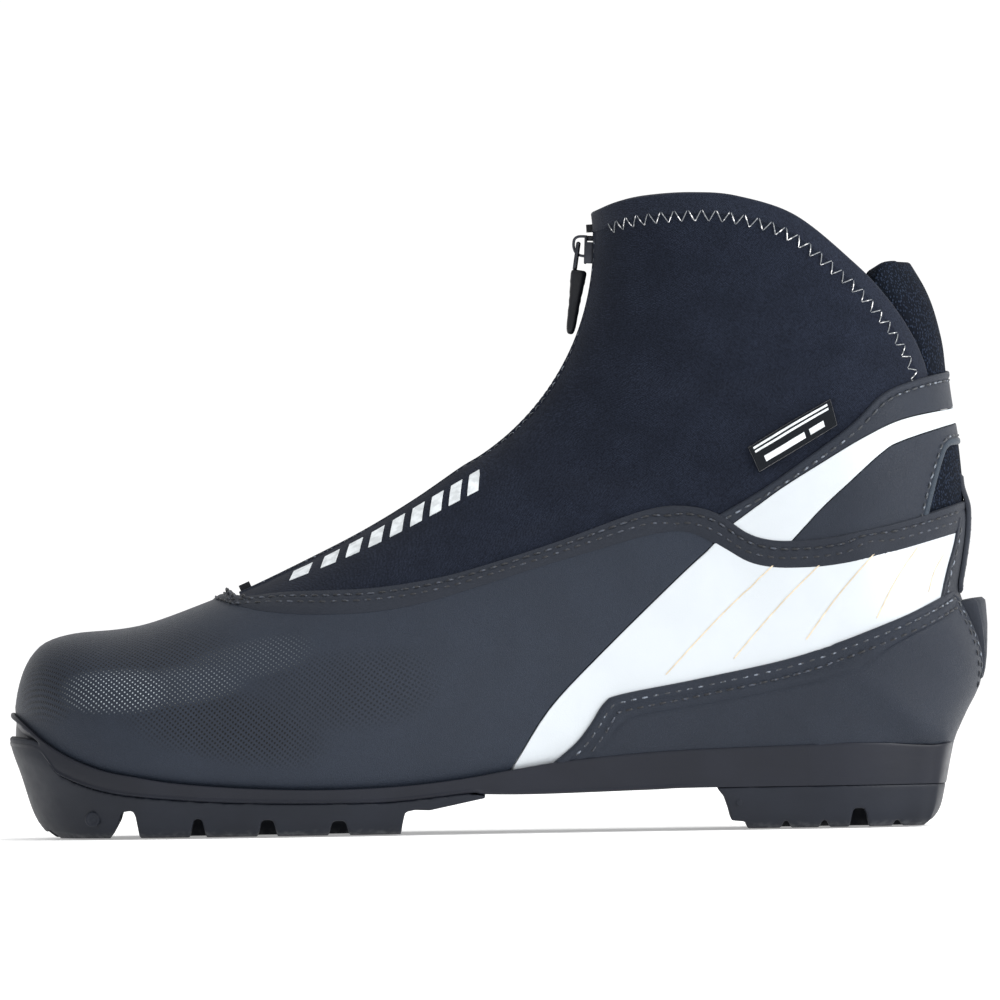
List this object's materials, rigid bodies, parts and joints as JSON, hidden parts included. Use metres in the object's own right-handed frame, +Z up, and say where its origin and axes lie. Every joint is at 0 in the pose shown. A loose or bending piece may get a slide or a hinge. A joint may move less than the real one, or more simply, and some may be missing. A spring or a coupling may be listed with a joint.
{
  "type": "cross country ski boot",
  "caption": "Left ankle-high cross country ski boot with a zipped lace cover over hidden lacing, a padded cuff, and a lugged sole with a toe bar and guide grooves.",
  "frame": {"origin": "on the ground, under the middle of the boot's overall length and width", "axes": "+X towards the heel, -X towards the toe, +Y towards the wearer's other foot (inner side), +Z up"},
  "size_m": [0.2841, 0.0947, 0.184],
  "materials": {
    "chassis_rubber": "satin moulded rubber",
    "tread_rubber": "matte moulded rubber",
    "steel": "plain steel",
    "fibreboard": "pressed fibre",
    "lining_fabric": "brushed fleece",
    "textured_fabric": "coarse pebbled knit",
    "dark_leather": "fine-grained coated leather",
    "white_leather": "smooth coated leather",
    "softshell": "matte stretch weave",
    "webbing": "woven",
    "moulded_dark": "moulded",
    "zip_metal": "dark plated metal"
  },
  "bodies": {
    "boot": {"sole_chassis": "chassis_rubber", "forefoot_outsole": "tread_rubber", "heel_outsole": "tread_rubber", "toe_bar": "steel", "insole_board": "fibreboard", "steel_shank": "steel", "footbed": "lining_fabric", "lining": "lining_fabric", "collar_pad": "textured_fabric", "tongue": "lining_fabric", "toe_puff": "fibreboard", "heel_stiffener": "fibreboard", "vamp": "dark_leather", "heel_spoiler": "moulded_dark", "backstay": "dark_leather", "cuff_band": "dark_leather", "cuff_stripe": "white_leather", "ankle_quarter": "dark_leather", "quarter_outer": "white_leather", "heel_counter_outer": "dark_leather", "lace_cover_outer": "softshell", "cover_hem_outer": "softshell", "zip_tape_outer": "webbing", "zip_teeth_outer": "moulded_dark", "lace_loop_outer_1": "webbing", "lace_loop_outer_2": "webbing", "lace_loop_outer_3": "webbing", "lace_loop_outer_4": "webbing", "quarter_inner": "white_leather", "heel_counter_inner": "dark_leather", "lace_cover_inner": "softshell", "cover_hem_inner": "softshell", "zip_tape_inner": "webbing", "zip_teeth_inner": "moulded_dark", "lace_loop_inner_1": "webbing", "lace_loop_inner_2": "webbing", "lace_loop_inner_3": "webbing", "lace_loop_inner_4": "webbing", "zip_top_stop": "moulded_dark", "zip_bottom_stop": "moulded_dark", "lace": "webbing", "woven_label": "webbing"},
    "slider": {"zip_slider": "zip_metal"},
    "pull": {"pull_link": "zip_metal", "pull_grip": "moulded_dark"},
    "lock": {"lace_lock": "moulded_dark"},
    "button": {"lock_button": "moulded_dark"}
  },
  "joints": [
    {"name": "zip_slide", "type": "hinge", "parent": "boot", "child": "slider", "pos_m": [-0.0452, 0, 0.1714], "axis": [0, 1, 0], "range_deg": [0, 55]},
    {"name": "pull_swing", "type": "hinge", "parent": "slider", "child": "pull", "pos_m": [0.0251, 0, 0.16981], "axis": [0, 1, 0], "range_deg": [0, 150]},
    {"name": "lock_along_lace", "type": "hinge", "parent": "boot", "child": "lock", "pos_m": [-0.0452, 0, 0.1714], "axis": [0, -1, 0], "range_deg": [-3, 5]},
    {"name": "button_press", "type": "slide", "parent": "lock", "child": "button", "axis": [0, -1, 0], "range_m": [0, 0.0012], "stiffness_N_per_m": 400, "springref_m": -0.0005}
  ]
}
